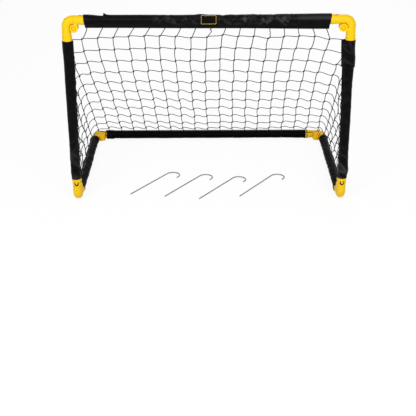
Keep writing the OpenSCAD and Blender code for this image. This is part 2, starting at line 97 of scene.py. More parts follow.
# %% Shader sums as Python
class Wire:
    """An output socket in a material, or only its node tree at the start."""

    def __init__(self, tree, socket=None):
        self.tree = tree
        self.socket = socket

    def node(self, kind, settings=None, inputs=None, output=0):
        made = self.tree.nodes.new("ShaderNode" + kind)
        for key, value in (settings or {}).items():
            if key == "stops":
                ramp = made.color_ramp.elements
                while len(ramp) < len(value):
                    ramp.new(0.5)
                for stop, (place, colour) in zip(ramp, value):
                    stop.position = place
                    stop.color = (*colour, 1)
            else:
                setattr(made, key, value)
        for key, value in (inputs or {}).items():
            if isinstance(value, Wire):
                self.tree.links.new(value.socket, made.inputs[key])
            else:
                made.inputs[key].default_value = value
        return Wire(self.tree, made.outputs[output])

    def math(self, operation, a, b=0.0, clamp=False):
        settings = {"operation": operation, "use_clamp": clamp}
        return self.node("Math", settings, {0: a, 1: b})

    def __add__(self, other):
        return self.math("ADD", self, other)

    def __sub__(self, other):
        return self.math("SUBTRACT", self, other)

    def __rsub__(self, other):
        return self.math("SUBTRACT", other, self)

    def __mul__(self, other):
        return self.math("MULTIPLY", self, other)

    __radd__ = __add__
    __rmul__ = __mul__

    def sine(self):
        return self.math("SINE", self)

    def between(self, low, high):
        """0 below low, 1 above high."""
        return self.math("MULTIPLY", self - low, 1 / (high - low), clamp=True)

    def tint(self, dark, pale):
        """A colour between two, by this value."""
        inputs = {0: self, 6: (*dark, 1), 7: (*pale, 1)}
        return self.node("Mix", {"data_type": "RGBA"}, inputs, output=2)


def stretched(tree, **settings):
    """The object's own coordinates, scaled or turned before a pattern is read."""
    inputs = {"Vector": tree.node("TexCoord", output=3)}
    inputs.update(settings)
    return tree.node("Mapping", None, inputs)


def grain(tree, size, detail=3.0, at=None):
    """Noise from 0 to 1 whose lumps are about `size` metres across."""
    at = at or tree.node("TexCoord", output=3)
    inputs = {"Vector": at, "Scale": 1 / size, "Detail": detail}
    return tree.node("TexNoise", None, inputs)


def new_finish(name, **constants):
    """A material with its shader, and the start of its sums."""
    finish = bpy.data.materials.new(name)
    finish.use_nodes = True
    shader = finish.node_tree.nodes["Principled BSDF"]
    for key, value in constants.items():
        shader.inputs[key.replace("_", " ")].default_value = value
    return finish, shader, Wire(finish.node_tree)


def feed(shader, **wires):
    """Links wires to the shader's sockets."""
    for key, wire in wires.items():
        wire.tree.links.new(wire.socket, shader.inputs[key.replace("_", " ")])


def bumped(height, depth, strength=1.0):
    """A normal from a height from 0 to 1 that stands for `depth` metres."""
    inputs = {"Strength": strength, "Distance": depth, "Height": height}
    return height.node("Bump", None, inputs)


print("sums that can be written:", ", ".join(name for name in vars(Wire) if name[:2] != "__"))


# %% [markdown]
# The floor and the sky are plain white, as in a catalogue. Seen by the camera
# or in a reflection they have a strength of 1; as a light the sky is dimmer,
# so it doesn't wash the goal out. Under its glow the floor stays a real
# surface, which lets a tenth of the goal's soft shadow through.

# %% Floor and sky
world = bpy.data.worlds.new("studio")
world.use_nodes = True
bpy.context.scene.world = world
sky = Wire(world.node_tree)
SKY_LIGHT = 0.5
path = ("Is Camera Ray", "Is Glossy Ray", "Is Transmission Ray")
seen = sum(sky.node("LightPath", output=ray) for ray in path)
backdrop = world.node_tree.nodes["Background"]
backdrop.inputs["Color"].default_value = (1, 1, 1, 1)
strength = seen.between(0, 1) * (1 - SKY_LIGHT) + SKY_LIGHT
world.node_tree.links.new(strength.socket, backdrop.inputs["Strength"])

FLOOR_SIZE = 60
bpy.ops.mesh.primitive_plane_add(size=FLOOR_SIZE)
floor = bpy.context.object
floor.name = "floor"
paper, paper_shader, sums = new_finish("paper", Roughness=0.9)
paper_shader.inputs["Base Color"].default_value = (0.9, 0.9, 0.9, 1)
paper_shader.inputs["Specular IOR Level"].default_value = 0.1
SHADOW_HIDDEN = 0.9
seen = sum(sums.node("LightPath", output=ray) for ray in path)
glow = sums.node("Emission", None, {"Strength": 1.0, "Color": (1, 1, 1, 1)})
lit_paper = Wire(sums.tree, paper_shader.outputs[0])
hidden = seen.between(0, 1) * SHADOW_HIDDEN
mixed = sums.node("MixShader", None, {0: hidden, 1: lit_paper, 2: glow})
sums.tree.links.new(mixed.socket, sums.tree.nodes["Material Output"].inputs["Surface"])
floor.data.materials.append(paper)
print("floor and sky are in place")


# %% [markdown]
# Three large soft lamps light the goal: a key from the upper left front, a
# weaker fill from the right, and a low one from behind that lifts the edges of
# the black sleeves off each other.

# %% Lamps
def soft_lamp(name, place, aim, size, watts):
    light = bpy.data.lights.new(name, "AREA")
    light.shape = "DISK"
    light.size = size
    light.energy = watts
    lamp = bpy.data.objects.new(name, light)
    lamp.location = place
    lamp.rotation_euler = (Vector(aim) - Vector(place)).to_track_quat("-Z", "Y").to_euler()
    bpy.context.collection.objects.link(lamp)
    print(f"{name}: {watts} W, {size} m across")


MIDDLE = (0, 0, 0.3)
soft_lamp("key_lamp", (-1.4, -2.9, 2.1), MIDDLE, 1.1, 60)
soft_lamp("fill_lamp", (0.95, -2.6, 1.9), MIDDLE, 1.2, 38)
soft_lamp("back_lamp", (0.6, 2.6, 2.4), MIDDLE, 2.0, 26)


# %% [markdown]
# The elbows are moulded in a satin yellow plastic. Such plastic is a little
# translucent, so it glows orange where two walls face each other. Scattering
# light inside it would be slow, so the glow is painted: a node that finds
# hollows tints them deep orange, which also paints shade into the recesses. On
# the feet the slots round the spring arms are painted nearly black, a painted
# shade. The plastic has a faint orange peel, a few scuffs and slightly uneven
# gloss.

# %% Yellow plastic
YELLOW = (0.70, 0.455, 0.004)
PAINTED_GLOW_YELLOW = (0.95, 0.27, 0.002)
SLOT_SHADE_COLOUR = (0.02, 0.008, 0.002)
NARROW = 9 * MM


def yellow_plastic(name, shaded_slots):
    """With shaded slots, the narrow slots round the spring arms get painted shade, nearly black."""
    plastic, shader, sums = new_finish(name, IOR=1.49)
    shader.inputs["Specular IOR Level"].default_value = 0.12
    cloudy = grain(sums, 0.03, 2)
    peel = grain(sums, 0.0011, 2)
    scratches = grain(sums, 0.0016, 4, stretched(sums, Scale=(1, 0.12, 0.35))).between(0.62, 0.72)
    hollow = sums.node("AmbientOcclusion", {"samples": 32}, {"Distance": NARROW}, output=1)
    # Painted glow and painted shade: the hollows that the occlusion node finds turn deep orange
    colour = ((1 - hollow).between(0.22, 0.85) + cloudy * 0.03).tint(YELLOW, PAINTED_GLOW_YELLOW)
    if shaded_slots:
        # Painted shade: the most hidden parts of the slots turn nearly black
        painted_slot_mask = (1 - hollow).between(0.7, 0.88)
        inputs = {0: painted_slot_mask, 6: colour, 7: (*SLOT_SHADE_COLOUR, 1)}
        colour = sums.node("Mix", {"data_type": "RGBA"}, inputs, output=2)
    feed(
        shader,
        Base_Color=colour,
        Roughness=cloudy.between(0.3, 0.7) * 0.08 + scratches * 0.12 + 0.36,
        Normal=bumped(peel + scratches * 0.5, 0.00002, 0.7),
    )
    return plastic


plastic = yellow_plastic("yellow_plastic", False)
foot_plastic = yellow_plastic("foot_plastic", True)
print("yellow plastic:", len(foot_plastic.node_tree.nodes), "nodes")


# %% [markdown]
# The tubes under the sleeves are steel with a black powder coat: a fine, even
# roughness of small lumps. They show only where a sleeve ends short. The pegs
# are drawn wire with a coat of zinc: fine streaks run along it, so the grain
# is turned to the wire's direction and stretched, under a blotchy spangle.

# %% Black tube and steel wire
coat, shader, sums = new_finish("black_coat")
shader.inputs["Specular IOR Level"].default_value = 0.35
lumps = grain(sums, 0.0007, 2)
feed(
    shader,
    Base_Color=lumps.tint((0.012, 0.012, 0.013), (0.022, 0.022, 0.024)),
    Roughness=lumps * 0.2 + 0.42,
    Normal=bumped(lumps, 0.00008),
)

wire, shader, sums = new_finish("zinc_wire")
shader.inputs["Specular IOR Level"].default_value = 0.5
along_wire = stretched(sums, Rotation=(0, 0, radians(-56)), Scale=(0.06, 1, 1))
drawn = grain(sums, 0.0012, 3, along_wire)
spangle = grain(sums, 0.006, 2)
feed(
    shader,
    Base_Color=(spangle * 0.6 + drawn * 0.4).tint((0.11, 0.125, 0.16), (0.25, 0.275, 0.33)),
    Metallic=spangle.between(0.2, 0.5) * 0.1 + 0.85,
    Roughness=drawn * 0.16 + 0.3,
    Normal=bumped(drawn, 0.00003),
)

FINISH_OF = {"tube": coat, "peg": wire, "front_left": foot_plastic, "front_right": foot_plastic}
dressed = 0
for name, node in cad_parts.items():
    kind = next((k for k in FINISH_OF if k in name), None)
    for place in range(max(1, len(node.material_slots))):
        if not node.material_slots:
            node.data.materials.append(plastic)
        node.material_slots[place].material = FINISH_OF.get(kind, plastic)
        dressed += 1
print("solids dressed:", dressed)


# %% [markdown]
# The sleeves are cut from a thin woven polyester with a slight sheen. Every
# sleeve's mesh stores, at each point, how far along the bar and how far round
# it the point lies, so the threads and the stitches follow the cloth. It also
# stores how pale the cloth is painted along its folds: partly because black
# polyester goes pale along a crease, partly as painted highlight on ridges and
# on triangles that lean one way. The side and rear sleeves take darker copies
# of the cloth, a painted shade that is deepest at the rear. A refractive index
# near 1 keeps the gloss low.

# %% Sleeve cloth
THREAD = 0.42 * MM
SEAM_LINE = 3.2 * MM
STITCH = 3.4 * MM
FAINTLY_PURPLE = (1, 0.9, 1, 1)
JET = (0.0004, 0.0004, 0.0005)


def cloth_finish(name, dark, pale, ior, rough=0.32):
    cloth, shader, sums = new_finish(name, IOR=ior)
    shader.inputs["Specular Tint"].default_value = FAINTLY_PURPLE
    place = sums.node("Attribute", {"attribute_name": "cloth"}, output=1)
    along, around, edge = (sums.node("SeparateXYZ", None, {0: place}, k) for k in range(3))
    warp = (along * (2 * pi / THREAD)).sine()
    weft = (around * (2 * pi / THREAD)).sine()
    weave = warp * weft * 0.5 + 0.5
    near_seam = 1 - edge.math("ABSOLUTE", edge - SEAM_LINE).between(0, 0.5 * MM)
    dash = (along * (2 * pi / STITCH)).sine().between(-0.45, -0.15)
    stitches = near_seam * dash
    worn = grain(sums, 0.02, 4).between(0.35, 0.75)
    # Paleness along the folds: crease whitening together with painted highlight and painted shading
    crease = sums.node("Attribute", {"attribute_name": "crease"}, output=2)
    paleness = worn * 0.03 + crease + weave * 0.02 + stitches * 0.15
    feed(
        shader,
        Base_Color=paleness.tint(dark, pale),
        Roughness=worn * 0.12 + rough - stitches * 0.1,
        Normal=bumped(weave * 0.06 + stitches, 0.00018, 0.6),
    )
    return cloth


sleeve_cloth = cloth_finish("sleeve_cloth", JET, (0.060, 0.056, 0.063), 1.14)
# The side and rear sleeves take darker copies of the same cloth: painted shade, deepest on the rear
# one
shaded_side_cloth = cloth_finish("shaded_side_cloth", JET, (0.034, 0.032, 0.036), 1.05)
shaded_rear_cloth = cloth_finish("shaded_rear_cloth", (0.0008, 0.0008, 0.0010), (0.006, 0.006, 0.007), 1.08)
label_cloth = cloth_finish("label_cloth", (0.003, 0.003, 0.0035), (0.009, 0.009, 0.010), 1.1, 0.6)
print("cloth: a thread every", THREAD / MM, "mm, a stitch every", STITCH / MM, "mm")


# %% [markdown]
# A sleeve is a strip of cloth that is folded round its tube and sewn to itself
# along one side, so its section is a drop with a flat seam at the tip. Lofting
# that section along the bar gives the sleeve; its size may change on the way,
# as over the wider collars of the elbows. The folds come last: every point
# moves in or out by what a fold function says about its place.

# %% The drop section
ROUND = 56
ARC_STEPS = 40
SEAM_HALF = 1.2 * MM
CLOTH = 0.7 * MM


def drop_section(radius, seam):
    """Points of a drop, from one side of the seam round to the other."""
    lean = pi / 2 - np.arcsin((radius - SEAM_HALF) / seam)
    corners = [(seam, SEAM_HALF)]
    for step in range(ARC_STEPS + 1):
        turn = lean + (2 * pi - 2 * lean) * step / ARC_STEPS
        corners.append((radius * cos(turn), radius * sin(turn)))
    corners.append((seam, -SEAM_HALF))
    corners = np.array(corners)
    sides = np.linalg.norm(np.diff(corners, axis=0), axis=1)
    gone = np.concatenate([[0], np.cumsum(sides)])
    even = np.linspace(0, gone[-1], ROUND)
    return np.stack([np.interp(even, gone, corners[:, k]) for k in (0, 1)], 1), gone[-1]


def smooth(t, low, high):
    """0 below low, 1 above high, with soft ends."""
    t = min(1, max(0, (t - low) / (high - low)))
    return t * t * (3 - 2 * t)


def bulge(t, middle, width, power=2):
    """1 at the middle, falling off to 0 on both sides."""
    return exp(-(abs(t - middle) / width) ** power)


print("a drop of 15 x 25 mm is", round(drop_section(15 * MM, 25 * MM)[1] / MM), "mm round")


# %% [markdown]
# Cloth that is too wide for its tube buckles into short ridges that cross the
# bar at a slant, sharp on top and soft between. Taking the absolute value of a
# noise turns its zero lines into such ridges; stretching and turning the place
# that the noise is read at gives them their length and their slant.
#
# Where stiff cloth is crushed it breaks into flat triangles with straight
# creases between them, which smooth noise can't give. A grid of triangles whose
# corners have random heights does, once another noise has bent the grid. How far
# a triangle leans to one side is returned as well: it paints leaning triangles
# paler, a painted highlight and painted shading.

# %% Folds
# Without a seed, noise_vector starts from the clock and differs in each run
noise.seed_set(SEED)
SHARPNESS = 2.6
CORNERS = ((0, 0), (1, 0), (0, 1), (1, 1))


def ridges(along, around, width, length, slant, seed):
    a = along * cos(slant) + around * sin(slant)
    b = around * cos(slant) - along * sin(slant)
    level = noise.noise(Vector((a / width, b / length, seed)))
    return max(0.0, 1 - SHARPNESS * abs(level)) ** 1.6


def crinkles(along, around, seed, size=1.0):
    """Two families of slanting ridges; a slow noise fades one into the other."""
    mix = 0.5 + 1.4 * noise.noise(Vector((along / 0.06, around / 0.09, seed + 9)))
    mix = min(1, max(0, mix))
    left = ridges(along, around, 0.017 * size, 0.06 * size, 0.75, seed)
    across = ridges(along, around, 0.020 * size, 0.055 * size, -0.6, seed + 4)
    return mix * left + (1 - mix) * across


def facets(along, around, seed, size, slant):
    """The height of flat triangles, and how strongly each leans to one side.

    The lean is strongest next to the fold line that two triangles share. It is used to paint
    leaning triangles paler, as a painted highlight.
    """
    a = (along * cos(slant) + around * sin(slant)) / size
    b = (around * cos(slant) - along * sin(slant)) / (1.5 * size)
    bend = noise.noise_vector(Vector((a * 0.6, b * 0.6, seed)))
    a, b = a + 0.6 * bend.x, b + 0.6 * bend.y
    i, j = a // 1, b // 1
    u, v = a - i, b - j
    level = [noise.cell(Vector((i + m + 0.5, j + n + 0.5, seed))) for m, n in CORNERS]
    near = 1 - 0.75 * abs(1 - u - v)
    if u + v < 1:
        first, second = level[1] - level[0], level[2] - level[0]
        return level[0] + u * first + v * second, (first - 0.5 * second) * near
    first, second = level[3] - level[2], level[3] - level[1]
    return level[3] - (1 - u) * first - (1 - v) * second, (first - 0.5 * second) * near


def swell(along, around, seed, size=0.07):
    """Soft, wide unevenness."""
    return noise.noise(Vector((along / size, around / (size * 0.8), seed)))


heights = [facets(k * 3 * MM, 0, 3.7, 10 * MM, 0)[0] for k in range(60)]
print("facets' heights: from", round(min(heights), 2), "to", round(max(heights), 2))


# %% [markdown]
# The loft goes along the bar station by station. At each it takes the drop's
# points, moves them by the folds, never nearer to the axis than the tube or
# the collar inside allows, and joins them to the ring before. Modelling the
# sleeve with a modifier on a cylinder would be quicker, but then the seam and
# the folds couldn't know where on the cloth they are. The thin wall is a
# modifier: it gives the cloth its thickness inwards.

# %% Lofting a sleeve
STEP = 2.2 * MM
ABOVE_GROUND = 0.2 * MM
HELD_BY_SEAM = 7 * MM


def sew_sleeve(
    name, node, body, start, way, seam_way, length, section_at, fold_at, least_at,
    slant_at=None, finish=None, sway=0,
):
    """A thin sleeve from `start` along `way`; distances are along the bar.

    `sway` shifts the sleeve's start away from its seam, as slack cloth may hang,
    and fades out towards its end. The shift comes after the folds and isn't held
    off the tube, so the inner face can lie a few tenths of a millimetre inside it.
    """
    way, seam_way = Vector(way), Vector(seam_way).normalized()
    over = way.cross(seam_way)
    stations = np.linspace(0, length, round(length / STEP) + 1)
    mesh = bmesh.new()
    place = mesh.verts.layers.float_vector.new("cloth")
    crease = mesh.verts.layers.float.new("crease")
    rows, area = [], 0.0
    for t in stations:
        points, girth = drop_section(*section_at(t))
        area += girth * STEP
        row = []
        for k, (u, v) in enumerate(points):
            reach = sqrt(u * u + v * v)
            around = girth * k / (ROUND - 1)
            rise, sharp = fold_at(t, around, girth)
            edge = min(around, girth - around)
            held = smooth(edge, 0, HELD_BY_SEAM)
            moved = max(reach + rise * held, min(reach, least_at(t)))
            gone = float(t) + (slant_at(t, u / reach) if slant_at else 0)
            outwards = (seam_way * float(u) + over * float(v)) * (moved / reach)
            spot = Vector(start) + way * gone + outwards
            spot -= seam_way * sway * (1 - smooth(t, 0.2 * length, 0.9 * length))
            spot.z = max(spot.z, ABOVE_GROUND)
            point = mesh.verts.new(spot)
            point[place] = (t, around, edge)
            # The fold's paleness: crease whitening and painted highlight
            point[crease] = sharp
            row.append(point)
        rows.append(row)
    for first, second in zip(rows, rows[1:]):
        for k in range(ROUND):
            n = (k + 1) % ROUND
            mesh.faces.new((first[k], second[k], second[n], first[n])).smooth = True
    bmesh.ops.recalc_face_normals(mesh, faces=mesh.faces)
    data = bpy.data.meshes.new(name)
    mesh.to_mesh(data)
    mesh.free()
    sleeve = bpy.data.objects.new(name, data)
    bpy.context.collection.objects.link(sleeve)
    data.materials.append(finish or sleeve_cloth)
    shell = sleeve.modifiers.new("cloth", "SOLIDIFY")
    shell.thickness = CLOTH
    shell.offset = -1
    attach(sleeve, body)
    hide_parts(node)


# %% [markdown]
# Each sleeve says only what is its own: where it runs, how wide it is from
# place to place and how it buckles. The places of the bars could be typed in
# again, but then they would go wrong with the next change to the model. They
# are read from the boxes of the solids instead.

# %% The bars' axes
def axis_of(tube):
    low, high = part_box(tube)
    return (Vector(low) + Vector(high)) / 2


FRONT = axis_of("crossbar_tube").y
TOP = axis_of("crossbar_tube").z
SIDE = axis_of("right_post_tube").x
REAR = axis_of("rear_tube").y
LOW = axis_of("rear_tube").z
UP, BACK, ACROSS = (0, 0, 1), (0, 1, 0), (1, 0, 0)
ON_TUBE, ON_COLLAR = 13.1 * MM, 16.4 * MM
COLLAR = 10.5 * MM


def over_collars(length, first, last):
    """How near the cloth may come to the axis along a sleeve with cuffs."""
    def least(t):
        if t < first or t > length - last:
            return ON_COLLAR
        return ON_TUBE
    return least


print("the mouth is", round(2 * SIDE / MM), "mm wide between the posts' axes")


# %% [markdown]
# The crossbar's sleeve is the loosest. Its left end is a separate cuff, over
# which the rest of the sleeve starts with a corner that stands up. It is crushed
# from a quarter of the way along, most of all in its right half, and the crushed
# triangles that lean one way are painted paler. The label keeps the middle flat,
# and the last stretch is pulled smooth, with a painted highlight along it. A
# cloth simulation could crush it too; a fold function was chosen because each
# fold then stays where it is put.

# %% Crossbar sleeve
low, high = (Vector(corner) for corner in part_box("crossbar_sleeve"))
BAR = high.x - low.x
LAYER = 61 * MM
CUT = 30 * MM
NOTCH_AT, BUMP_AT = 0.423, 0.355


def bar_section(t):
    cuff = 16.6 - 3.2 * smooth(t, 12 * MM, LAYER - 2 * MM)
    sleeve = 15.8 - 0.8 * smooth(t, LAYER, 0.2) + 1.0 * smooth(t, BAR - 0.12, BAR - 0.02)
    step = smooth(t, LAYER - 2 * MM, LAYER + 1 * MM)
    seam = 24.3 + 2.7 * smooth(t, 0, 0.42) + 3.0 * smooth(t, 0.42, BAR)
    return (cuff + (sleeve - cuff) * step) * MM, seam * MM


def bar_fold(t, around, girth):
    crumpled = 0.5 * smooth(t, 0.24 * BAR, 0.34 * BAR) + 0.5 * smooth(t, 0.58 * BAR, 0.64 * BAR)
    crumpled -= smooth(t, 0.83 * BAR, 0.88 * BAR)
    crumpled *= 1 - 0.8 * bulge(t, 0.5 * BAR, 30 * MM, 4)
    off_seam = smooth(min(around, girth - around), 11 * MM, 25 * MM)
    on_top = bulge(around / girth, 0.5, 0.1)
    crumpled *= off_seam * (1 - 0.7 * on_top)
    large, lean = facets(t, around, 3.7, 10 * MM, -0.95)
    small, small_lean = facets(t, around, 8.3, 8 * MM, 0.4)
    rise = (large * 2.6 + small * 0.8) * crumpled * MM
    rise += swell(t, around, 5.5) * (0.7 + crumpled) * MM
    corner = exp(-(max(0, t - LAYER - MM) / (8 * MM)) ** 1.4) * (t > LAYER - 0.5 * MM)
    rise += 7.0 * MM * corner * bulge(around / girth, 0.53, 0.07)
    rise -= 3.2 * MM * bulge(t, NOTCH_AT, 5 * MM) * on_top
    rise += 2.0 * MM * bulge(t, BUMP_AT, 14 * MM) * on_top
    rise += 1.6 * MM * smooth(t, 0.58, 0.61) * on_top
    # Painted highlight: a pale band along the smooth right end. Painted shading: crushed triangles
    # that lean one way are paler
    painted_shine = bulge(around / girth, 0.63, 0.06) * smooth(t, 0.84 * BAR, 0.89 * BAR)
    painted_facet_light = (0.42 * max(0, lean) + 0.2 * max(0, small_lean)) * crumpled
    return rise, painted_facet_light + 0.3 * painted_shine


def bar_slant(t, facing):
    """Both ends are cut at a slant: the seam is a little shorter than the top."""
    left = 3.5 * MM * (1 - smooth(t, 0, CUT))
    right = 5.5 * MM * smooth(t, BAR - CUT, BAR)
    return (left - right) * (1 + facing) / 2


sew_sleeve(
    "crossbar_cloth", "crossbar_sleeve", "front_frame", (low.x, FRONT, TOP), ACROSS, (0, 0, -1),
    BAR, bar_section, bar_fold, over_collars(BAR, COLLAR, 3.2 * MM), bar_slant,
)


# %% [markdown]
# The posts' sleeves hang nearly straight, with long shallow buckles, and sway
# outwards a little at the foot. The right one has a wide second layer on top,
# which ends in a loose flared edge, and its lower end is bunched up on the
# elbow. Both use the same loft, so only the widths and folds are new.

# %% Post sleeves
low, high = (Vector(corner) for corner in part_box("left_post_sleeve"))
POST = high.z - low.z
FLARE_END = POST - 85 * MM
SWAY = 2 * MM


def left_post_section(t):
    return (14.4 + 1.6 * smooth(t, 0.1, POST)) * MM, (16.6 + 1.8 * smooth(t, 0.1, POST)) * MM


def left_post_fold(t, around, girth):
    sharp = crinkles(t, around, 13.7, 1.4) * (0.25 + 0.5 * (1 - smooth(t, 0.05, 0.2)))
    long_buckle = swell(t * 0.25, around, 17.2, 0.03) * 0.9 * MM
    # The second value paints the ridges paler: crease whitening and painted highlight
    return sharp * 1.8 * MM + long_buckle + swell(t, around, 19.1) * 0.8 * MM, 0.7 * sharp ** 2


def right_post_section(t):
    flare = smooth(t, FLARE_END - 2 * MM, FLARE_END + 1 * MM)
    below = 14.4 + 1.8 * smooth(t, 0.25, FLARE_END) + 3.2 * bulge(t, 26 * MM, 16 * MM)
    above = 19.0 - 2.4 * smooth(t, FLARE_END, POST)
    seam_below = 16.8 + 3.5 * smooth(t, 0.2, FLARE_END) + 1.5 * (1 - smooth(t, 0.01, 0.04))
    seam_above = 23.5 + 3.5 * smooth(t, FLARE_END, POST)
    seam = seam_below + (seam_above - seam_below) * flare
    return (below + (above - below) * flare) * MM, seam * MM


def right_post_fold(t, around, girth):
    low_end = 1 - smooth(t, 0.02, 0.11)
    high_end = smooth(t, FLARE_END, FLARE_END + 20 * MM)
    sharp = crinkles(t, around, 23.3, 1.3) * (0.3 + 0.7 * low_end + 0.35 * high_end)
    # The second value paints the ridges paler: crease whitening and painted highlight
    return sharp * 2.1 * MM + swell(t, around, 27.9) * 1.2 * MM, 0.7 * sharp ** 2


def loose(t):
    """The posts' sleeves stop short of the elbows, so only the tube is inside."""
    return ON_TUBE


sew_sleeve(
    "left_post_cloth", "left_post_sleeve", "front_frame", (-SIDE, FRONT, low.z), UP, ACROSS,
    POST, left_post_section, left_post_fold, loose, sway=SWAY,
)
sew_sleeve(
    "right_post_cloth", "right_post_sleeve", "front_frame", (SIDE, FRONT, low.z), UP, (-1, 0, 0),
    POST, right_post_section, right_post_fold, loose, sway=SWAY,
)


# %% [markdown]
# The ground bars' sleeves are drawn over the elbows' collars and lie tight.
# The two at the sides are more crumpled than the long one at the rear, and
# their front ends are cut on a slant. The rear one's seam, which carries the
# net's lowest row, is turned up and back.

# %% Ground sleeves
EASE = 8 * MM
CUT_BACK = 12 * MM
REAR_COLLAR = 22.5 * MM
REAR_TURN = radians(40)


def ground_section(length, first, last):
    def section(t):
        cuff = 1 - smooth(t, first, first + EASE)
        cuff += smooth(t, length - last - EASE, length - last)
        return (14.6 + 2.0 * cuff) * MM, (16.8 + 1.0 * cuff) * MM
    return section


def ground_fold(seed, crumple):
    def fold(t, around, girth):
        sharp = crinkles(t, around, seed, 1.1) * crumple
        uneven = swell(t, around, seed + 3) * (0.5 + 0.8 * crumple) * MM
        # The second value paints the ridges paler: crease whitening and painted highlight
        return sharp * 2.0 * MM + uneven, 0.7 * sharp ** 2
    return fold


def drawn_back(t, facing):
    """The front end is cut on a slant: its lower side leaves more of the elbow bare."""
    return CUT_BACK * (1 - smooth(t, 0, CUT)) * (1 - facing) / 2


for name, side, seed in (("left_side", -1, 31.2), ("right_side", 1, 37.8)):
    low, high = (Vector(corner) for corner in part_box(name + "_sleeve"))
    run = high.y - low.y
    sew_sleeve(
        name + "_cloth", name + "_sleeve", "ground_frame", (side * SIDE, low.y, LOW), BACK, UP,
        run, ground_section(run, COLLAR, COLLAR), ground_fold(seed, 0.8),
        over_collars(run, COLLAR, COLLAR), drawn_back, shaded_side_cloth,
    )

low, high = (Vector(corner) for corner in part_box("rear_sleeve"))
run = high.x - low.x
rear_seam = (0, sin(REAR_TURN), cos(REAR_TURN))
sew_sleeve(
    "shaded_rear_cloth", "rear_sleeve", "ground_frame", (low.x, REAR, LOW), ACROSS, rear_seam,
    run, ground_section(run, REAR_COLLAR, 0), ground_fold(43.6, 0.3),
    over_collars(run, REAR_COLLAR, 0), finish=shaded_rear_cloth,
)


# %% [markdown]
# The maker's woven label on the crossbar is left blank. It is a patch of the
# same loft as the sleeve, lifted by a hair, with a border of yellow stitches
# that follow its folds.

# %% Blank label
LABEL = (50 * MM, 30 * MM)
LABEL_AT = 0.5 * BAR + 3.5 * MM
LABEL_START = LABEL_AT - LABEL[0] / 2
LABEL_SHARE = 0.555
LABEL_LIFT = 0.75 * MM
LABEL_THICK = 0.5 * MM
ACROSS_LABEL, DOWN_LABEL = 28, 18
NO_SEAM = 20 * MM
bar_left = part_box("crossbar_sleeve")[0][0]


def on_bar(t, share, lift):
    """A point on the crossbar's cloth, `share` of the way round from the seam."""
    points, girth = drop_section(*bar_section(t))
    spot = share * (ROUND - 1)
    k = min(ROUND - 2, int(spot))
    u, v = points[k] + (points[k + 1] - points[k]) * (spot - k)
    reach = sqrt(u * u + v * v)
    rise = bar_fold(t, girth * share, girth)[0]
    grown = (max(reach + rise, ON_TUBE) + lift) / reach
    return Vector((bar_left + t, FRONT + v * grown, TOP - u * grown))


def link_mesh(name, mesh, finish):
    data = bpy.data.meshes.new(name)
    mesh.to_mesh(data)
    mesh.free()
    made = bpy.data.objects.new(name, data)
    bpy.context.collection.objects.link(made)
    data.materials.append(finish)
    return made


girth = drop_section(*bar_section(LABEL_AT))[1]
mesh = bmesh.new()
place = mesh.verts.layers.float_vector.new("cloth")
patch = []
for a in range(ACROSS_LABEL + 1):
    for b in range(DOWN_LABEL + 1):
        along, down = LABEL[0] * a / ACROSS_LABEL, LABEL[1] * b / DOWN_LABEL
        spot = on_bar(LABEL_START + along, LABEL_SHARE + down / girth, LABEL_LIFT)
        point = mesh.verts.new(spot)
        point[place] = (along, down, NO_SEAM)
        patch.append(point)
for a in range(ACROSS_LABEL):
    for b in range(DOWN_LABEL):
        k = a * (DOWN_LABEL + 1) + b
        corners = (k, k + 1, k + DOWN_LABEL + 2, k + DOWN_LABEL + 1)
        mesh.faces.new([patch[corner] for corner in corners]).smooth = True
label = link_mesh("blank_label_cloth", mesh, label_cloth)
shell = label.modifiers.new("cloth", "SOLIDIFY")
shell.thickness = LABEL_THICK
shell.offset = 0
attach(label, "front_frame")
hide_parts("blank_label")
print("label:", len(patch), "points")


# %% [markdown]
# The border is sewn, not printed, so each stitch is a small raised bar of yarn.
# A line of bump in the label's finish would be flat from the side. The stitches
# find their places with the same function as the label, a hair further out.

# %% Stitched border
yarn, shader, sums = new_finish("yellow_yarn", Roughness=0.6)
twist = grain(sums, 0.0006, 2)
yellow_yarn = twist.tint((0.62, 0.36, 0.01), (0.95, 0.62, 0.02))
feed(shader, Base_Color=yellow_yarn, Normal=bumped(twist, 0.0002))
INSET, STITCH_RUN, YARN = 2.6 * MM, 3.4 * MM, 1.3 * MM
STITCH_LIFT = 1.05 * MM
YARN_SIDES = 6
ARCH = ((0, 0.4), (0.18, 0.9), (0.5, 1), (0.82, 0.9), (1, 0.4))


def stitch(mesh, first, last, thick, raised):
    """One stitch: a bar that dips into the cloth at both ends."""
    way = (last - first).normalized()
    side = way.cross(raised).normalized()
    rings = []
    for t, size in ARCH:
        middle = first.lerp(last, t) + raised * thick * (size - 0.55)
        ring = []
        for k in range(YARN_SIDES):
            turn = 2 * pi * k / YARN_SIDES
            out = (side * cos(turn) + raised * sin(turn)) * thick / 2 * size
            ring.append(mesh.verts.new(middle + out))
        rings.append(ring)
    for one, two in zip(rings, rings[1:]):
        for k in range(YARN_SIDES):
            n = (k + 1) % YARN_SIDES
            mesh.faces.new((one[k], one[n], two[n], two[k])).smooth = True
    mesh.faces.new(rings[0][::-1])
    mesh.faces.new(rings[-1])


